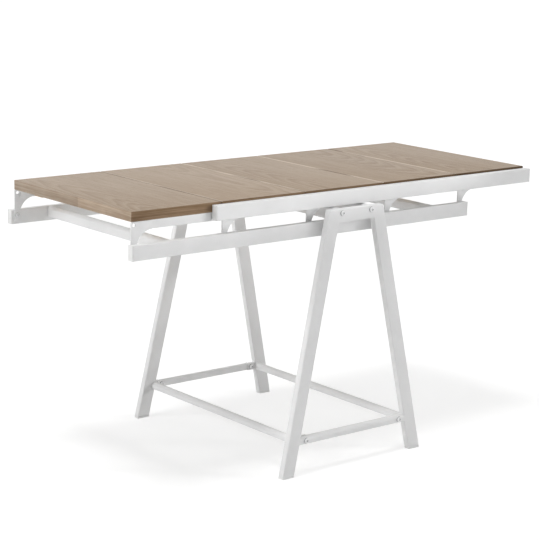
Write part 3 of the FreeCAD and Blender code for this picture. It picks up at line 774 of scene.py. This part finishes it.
bpy.ops.object.select_all(action="DESELECT")
bpy.ops.mesh.primitive_plane_add(size=stage["floorSize"], location=(0, 0, 0))
floor = takeNew("studioFloor")
floorMaterial, tree = startFinish("studioFloor")
seen = seenDirectly(tree)
paleFloor = blendColour(tree, seen, (stage["floorBounce"],) * 3, (1, 1, 1))
lit = addNode(tree, "ShaderNodeBsdfDiffuse", None, {"Color": paleFloor})
glow = addNode(tree, "ShaderNodeEmission", None, {"Color": (1, 1, 1, 1), "Strength": stage["glow"]})
both = addNode(tree, "ShaderNodeMixShader", None, {0: seen * stage["shadowLift"], 1: lit, 2: glow})
addNode(tree, "ShaderNodeOutputMaterial", None, {"Surface": both})
wear(floor, floorMaterial)

world = bpy.data.worlds.new("studioWorld")
bpy.context.scene.world = world
world.use_nodes = True
tree = world.node_tree
tree.nodes.clear()
skyRight, skyRear, height = splitXyz(tree, coordinate(tree, "Generated"))
level = ease(tree, height, *stage["skyRise"], stage["skyLow"], stage["skyHigh"])
level = level * ease(tree, skyRear, *stage["frontFade"], stage["skyFront"], 1.0)
level = level * ease(tree, skyRight, *stage["leftFade"], stage["skyLeft"], 1.0)
sky = addNode(tree, "ShaderNodeBackground", None, {"Color": (1, 1, 1, 1), "Strength": level})
backdrop = addNode(tree, "ShaderNodeBackground", None, {"Color": (1, 1, 1, 1), "Strength": 1.0})
shown = addNode(tree, "ShaderNodeMixShader", None, {0: seenDirectly(tree), 1: sky, 2: backdrop})
addNode(tree, "ShaderNodeOutputWorld", None, {"Surface": shown})

# soft lamps: strength, height above the horizon, heading from +X, and spread in degrees
lamps = {
    "overheadLamp": (0.82, 75.5, 202.0, 14.0),
    "ceilingLamp": (0.58, 90.0, 180.0, 80.0),
    "frontLamp": (0.73, 17.0, -41.0, 6.0),
    "sideLamp": (1.18, 19.0, 166.0, 30.0),
}
for name, (strength, rise, heading, spread) in lamps.items():
    bpy.ops.object.select_all(action="DESELECT")
    bpy.ops.object.light_add(type="SUN")
    lamp = bpy.context.object
    lamp.name = lamp.data.name = name
    lamp.data.energy = strength
    lamp.data.angle = math.radians(spread)
    up, along = math.radians(rise), math.radians(heading)
    toLamp = Vector((math.cos(up) * math.cos(along), math.cos(up) * math.sin(along), math.sin(up)))
    lamp.rotation_euler = toLamp.to_track_quat("Z", "Y").to_euler()
    lamp.visible_glossy = name != "frontLamp"      # no glare on the boards from the other side

# a narrow strip light in front, right of the middle, aimed at the side rail left of its middle
strip = {"power": 0.15, "place": (0.60, -1.25, 0.88), "aim": (-0.08, -0.30, 0.785),
         "size": (1.0, 0.06), "spread": 14.0}
bpy.ops.object.select_all(action="DESELECT")
bpy.ops.object.light_add(type="AREA", location=strip["place"])
lamp = bpy.context.object
lamp.name = lamp.data.name = "stripLight"
lamp.data.shape = "RECTANGLE"
lamp.data.size, lamp.data.size_y = strip["size"]
lamp.data.energy = strip["power"]
lamp.data.spread = math.radians(strip["spread"])
lamp.visible_camera = lamp.visible_glossy = False
toLamp = Vector(strip["place"]) - Vector(strip["aim"])
lamp.rotation_euler = toLamp.to_track_quat("Z", "Y").to_euler()

bpy.context.scene.view_settings.view_transform = "Standard"

# camera, fitted to the photograph's edges; focal length and picture width in the photograph's pixels
view = {"place": (-3.1332, -3.8169, 1.5647), "azimuth": -39.137, "elevation": 12.354, "roll": 1.276,
        "focal": 1764.8, "width": 540, "sensor": 36, "farEnd": 200}
azimuth, elevation, roll = (math.radians(view[key]) for key in ("azimuth", "elevation", "roll"))
away = math.cos(elevation)
back = Vector((math.sin(azimuth) * away, -math.cos(azimuth) * away, math.sin(elevation)))
aim = (-back).to_track_quat("-Z", "Y").to_matrix() @ Matrix.Rotation(roll, 3, "Z")
cameraData = bpy.data.cameras.new("photoCamera")
camera = bpy.data.objects.new("photoCamera", cameraData)
bpy.context.collection.objects.link(camera)
cameraData.sensor_width = view["sensor"]
cameraData.lens = view["sensor"] * view["focal"] / view["width"]
cameraData.clip_end = view["farEnd"]
camera.matrix_world = Matrix.Translation(view["place"]) @ aim.to_4x4()
bpy.context.scene.camera = camera
print("stage, lamps and camera done")
